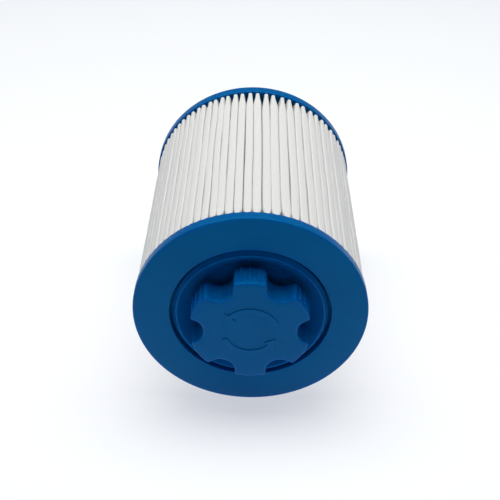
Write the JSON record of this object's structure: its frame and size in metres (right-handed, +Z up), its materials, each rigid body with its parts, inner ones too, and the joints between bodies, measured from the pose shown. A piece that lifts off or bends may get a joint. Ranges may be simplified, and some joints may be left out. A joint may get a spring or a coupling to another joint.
{
  "type": "filter cartridge",
  "caption": "Pleated filter cartridge with two solid end caps, a perforated core, a threaded spigot and a screw-in lid with a lobed grip knob.",
  "frame": {"origin": "on the floor under the middle of the length: the cartridge lies on the rims of its two end caps", "axes": "+Y along the cartridge's axis from the grip lid to the threaded spigot, +Z up, +X to the right seen from the lid"},
  "size_m": [0.1492, 0.2094, 0.1493],
  "materials": {
    "cap_plastic": "satin moulded polyurethane, deep blue",
    "lid_plastic": "satin moulded plastic, deep blue",
    "core_plastic": "satin, white",
    "potting_resin": "cast resin, blue",
    "filter_fabric": "spunbond polyester, white, matt",
    "seal_rubber": "matt"
  },
  "bodies": {
    "housing": {"front_end_cap": "cap_plastic", "front_potting": "potting_resin", "thread_collar": "cap_plastic", "pleated_media": "filter_fabric", "core_front_section": "core_plastic", "core_middle_section": "core_plastic", "core_rear_section": "core_plastic", "rear_end_cap": "cap_plastic", "rear_potting": "potting_resin", "thread_adapter": "cap_plastic", "adapter_gasket": "seal_rubber"},
    "seal": {"lid_gasket": "seal_rubber"},
    "lid": {"lid_dish": "lid_plastic", "grip_knob": "lid_plastic"}
  },
  "joints": [
    {"name": "lid_lift", "type": "slide", "parent": "housing", "child": "seal", "axis": [0, -1, 0], "range_m": [0, 0.0121]},
    {"name": "lid_turn", "type": "hinge", "parent": "seal", "child": "lid", "pos_m": [0, -0.0893, 0.07464], "axis": [0, -1, 0], "range_deg": [0, 270]}
  ],
  "couplings": [
    {"joint": "lid_lift", "follows": "lid_turn", "m_per_rad": 0.0025465}
  ]
}
